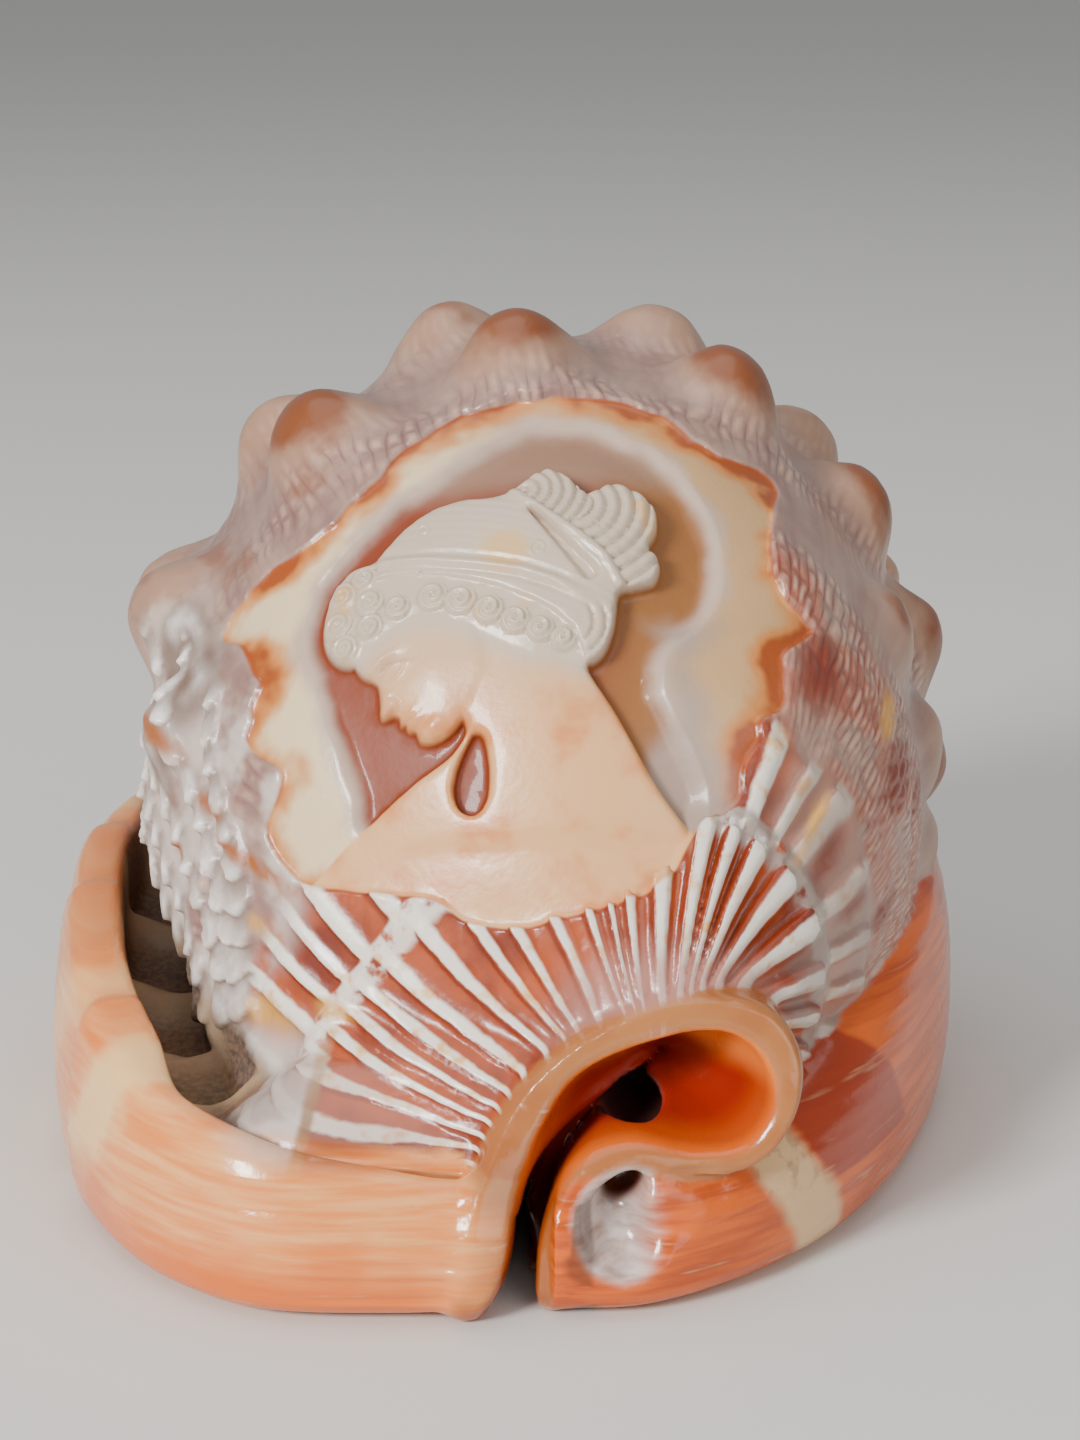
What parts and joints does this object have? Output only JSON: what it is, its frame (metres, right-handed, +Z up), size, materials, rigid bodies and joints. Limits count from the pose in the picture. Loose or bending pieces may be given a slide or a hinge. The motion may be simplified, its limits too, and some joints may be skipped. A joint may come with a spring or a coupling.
{
  "type": "carved cameo shell",
  "caption": "Helmet shell with a cameo bust carved in a sunk medallion on its back, knobbed shoulder, rolled outer lip and upturned canal.",
  "frame": {"origin": "on the table, under the middle of the shell's bounding box", "axes": "+Z up from the table the shell rests on, -Y towards the viewer of the carving and the canal, +Y towards the spire, +X to that viewer's right"},
  "size_m": [0.1274, 0.137, 0.1094],
  "materials": {
    "shell": "polished natural shell, peach, orange-brown, cream and mauve"
  },
  "bodies": {
    "root": {"shell": "shell"}
  },
  "joints": []
}
